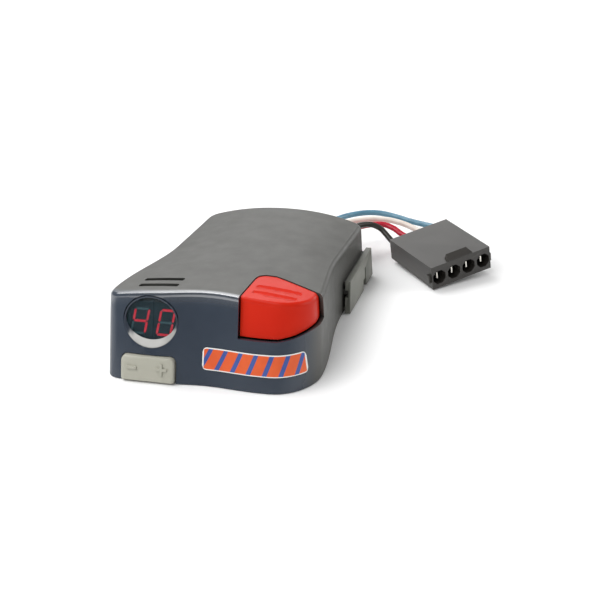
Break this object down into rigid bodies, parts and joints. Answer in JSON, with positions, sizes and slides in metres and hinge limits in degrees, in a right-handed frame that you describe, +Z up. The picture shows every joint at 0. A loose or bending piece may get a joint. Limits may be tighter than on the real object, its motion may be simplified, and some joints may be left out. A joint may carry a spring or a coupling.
{
  "type": "trailer brake controller",
  "caption": "In-cab trailer brake controller: dark moulded case with a two-digit display, a rocker key, a manual override button, a slide-off mounting clip and a wired flat plug.",
  "frame": {"origin": "centre of the unit's underside, without the free wires and plug", "axes": "+Z up, -Y the face with the display, +Y towards the wires, +X to the right seen from the front"},
  "size_m": [0.1582, 0.1882, 0.042],
  "materials": {
    "case_plastic": "fine textured satin",
    "plate_plastic": "fine textured satin",
    "clip_plastic": "satin",
    "button_red": "semi-gloss",
    "key_grey": "matte",
    "bezel_grey": "satin",
    "pane_smoked": "clear gloss, smoked",
    "digit_red": "gloss",
    "decal_film": "gloss film",
    "board_green": "solder mask",
    "component_black": "moulded",
    "sensor_blue": "moulded",
    "can_sleeve": "shrink sleeve",
    "sink_metal": "extruded",
    "steel_pin": "bright",
    "steel_screw": "plated",
    "plug_plastic": "satin",
    "blade_metal": "tinned",
    "grommet_rubber": "matte",
    "wire_blue": "smooth insulation",
    "wire_white": "smooth insulation",
    "wire_red": "smooth insulation",
    "wire_black": "smooth insulation"
  },
  "bodies": {
    "case": {"base_plate": "plate_plastic", "board_header": "component_black", "board_screw_1": "steel_screw", "board_screw_2": "steel_screw", "board_screw_3": "steel_screw", "board_screw_4": "steel_screw", "case_screw_1": "steel_screw", "case_screw_2": "steel_screw", "case_screw_3": "steel_screw", "case_screw_4": "steel_screw", "controller_chip": "component_black", "digit_tens": "digit_red", "digit_units": "digit_red", "display_bezel": "bezel_grey", "display_board": "board_green", "display_window": "pane_smoked", "front_decal": "decal_film", "heat_sink": "sink_metal", "key_pin": "steel_pin", "key_switch_minus": "component_black", "key_switch_plus": "component_black", "main_board": "board_green", "output_transistor": "component_black", "override_sensor": "sensor_blue", "override_spring": "steel_pin", "plug_blade_1": "blade_metal", "plug_blade_2": "blade_metal", "plug_blade_3": "blade_metal", "plug_blade_4": "blade_metal", "plug_housing": "plug_plastic", "supply_capacitor": "can_sleeve", "upper_housing": "case_plastic", "wire_black": "wire_black", "wire_blue": "wire_blue", "wire_grommet": "grommet_rubber", "wire_red": "wire_red", "wire_white": "wire_white"},
    "override": {"override_button": "button_red", "override_pin": "steel_pin"},
    "key": {"adjust_key": "key_grey"},
    "clip": {"mounting_clip": "clip_plastic"}
  },
  "joints": [
    {"name": "override_press", "type": "hinge", "parent": "case", "child": "override", "pos_m": [0.027, -0.03177, 0.031], "axis": [1, 0, 0], "range_deg": [0, 7], "stiffness_Nm_per_rad": 0.4, "springref_deg": -2.86, "deforming": ["override_spring"]},
    {"name": "key_rock", "type": "hinge", "parent": "case", "child": "key", "pos_m": [-0.02815, -0.06437, 0.00625], "axis": [0, 0, 1], "range_deg": [-2, 2], "stiffness_Nm_per_rad": 0.3},
    {"name": "clip_slide", "type": "slide", "parent": "case", "child": "clip", "axis": [0, 1, 0], "range_m": [0, 0.025]}
  ]
}
